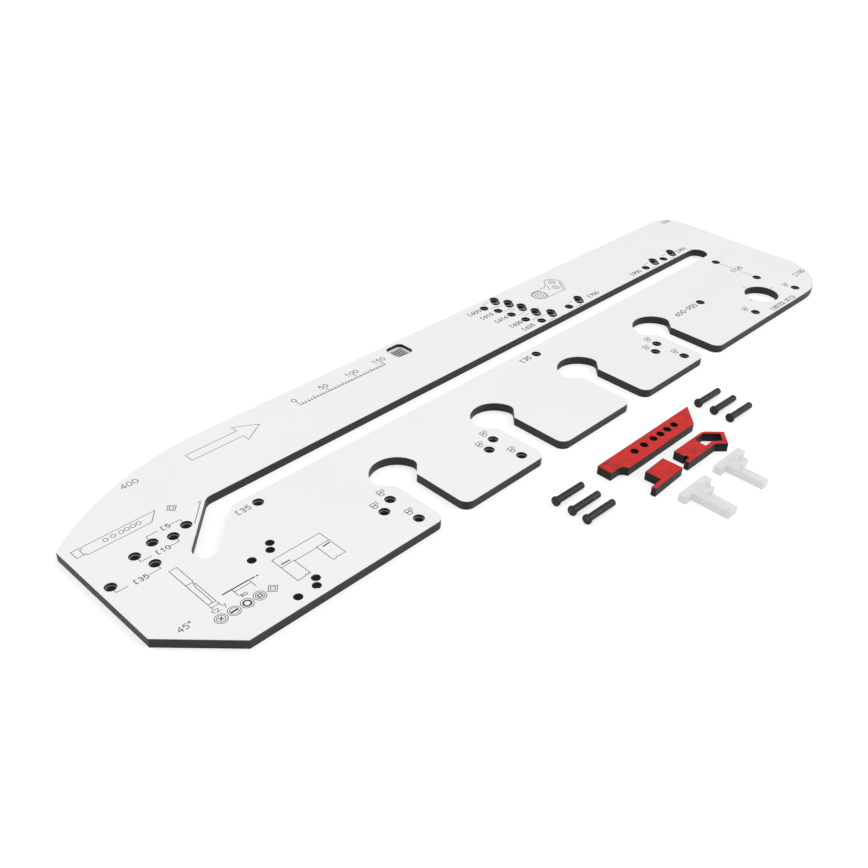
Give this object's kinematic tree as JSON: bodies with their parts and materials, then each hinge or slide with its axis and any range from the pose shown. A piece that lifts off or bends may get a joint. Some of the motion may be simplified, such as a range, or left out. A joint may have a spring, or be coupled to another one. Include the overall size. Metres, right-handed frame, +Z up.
{
  "type": "worktop routing jig",
  "caption": "Long flat router template with a bent guide slot, keyhole bolt recesses and pin holes, with its loose fence, stops, clear guides and headed pins.",
  "frame": {"origin": "middle of the template plate's underside, on the surface that everything lies on", "axes": "+X along the plate towards the boring aperture, +Y towards its straight back edge, +Z up through its thickness"},
  "size_m": [1.246, 0.5447, 0.0125],
  "materials": {
    "laminate_core": "machined edge of a solid compact laminate, satin",
    "laminate_face": "fine satin face with thin grey engraved lines",
    "tag": "printed tag with a pale border",
    "insert_core": "machined edge, satin",
    "insert_face": "satin red face",
    "clear_plastic": "clear with frosted sawn edges",
    "black_metal": "black anodised, fine turned"
  },
  "bodies": {
    "plate": {"plate_core": "laminate_core", "plate_top_face": "laminate_face", "tag_plate": "tag"},
    "fence": {"fence_core": "insert_core", "fence_top_face": "insert_face"},
    "hook": {"hook_core": "insert_core", "hook_top_face": "insert_face"},
    "block": {"block_core": "insert_core", "block_top_face": "insert_face"},
    "clear_guide_1": {"clear_guide_1": "clear_plastic"},
    "clear_guide_2": {"clear_guide_2": "clear_plastic"},
    "pin_1": {"pin_1": "black_metal"},
    "pin_2": {"pin_2": "black_metal"},
    "pin_3": {"pin_3": "black_metal"},
    "pin_4": {"pin_4": "black_metal"},
    "pin_5": {"pin_5": "black_metal"},
    "pin_6": {"pin_6": "black_metal"}
  },
  "joints": [
    {"name": "fence_lift", "type": "slide", "parent": "plate", "child": "fence", "axis": [0, 0, 1], "range_m": [0, 0.1]},
    {"name": "hook_lift", "type": "slide", "parent": "plate", "child": "hook", "axis": [0, 0, 1], "range_m": [0, 0.1]},
    {"name": "block_lift", "type": "slide", "parent": "plate", "child": "block", "axis": [0, 0, 1], "range_m": [0, 0.1]},
    {"name": "clear_guide_1_lift", "type": "slide", "parent": "plate", "child": "clear_guide_1", "axis": [0, 0, 1], "range_m": [0, 0.1]},
    {"name": "clear_guide_2_lift", "type": "slide", "parent": "plate", "child": "clear_guide_2", "axis": [0, 0, 1], "range_m": [0, 0.1]},
    {"name": "pin_1_lift", "type": "slide", "parent": "plate", "child": "pin_1", "axis": [0, 0, 1], "range_m": [0, 0.1]},
    {"name": "pin_2_lift", "type": "slide", "parent": "plate", "child": "pin_2", "axis": [0, 0, 1], "range_m": [0, 0.1]},
    {"name": "pin_3_lift", "type": "slide", "parent": "plate", "child": "pin_3", "axis": [0, 0, 1], "range_m": [0, 0.1]},
    {"name": "pin_4_lift", "type": "slide", "parent": "plate", "child": "pin_4", "axis": [0, 0, 1], "range_m": [0, 0.1]},
    {"name": "pin_5_lift", "type": "slide", "parent": "plate", "child": "pin_5", "axis": [0, 0, 1], "range_m": [0, 0.1]},
    {"name": "pin_6_lift", "type": "slide", "parent": "plate", "child": "pin_6", "axis": [0, 0, 1], "range_m": [0, 0.1]}
  ]
}
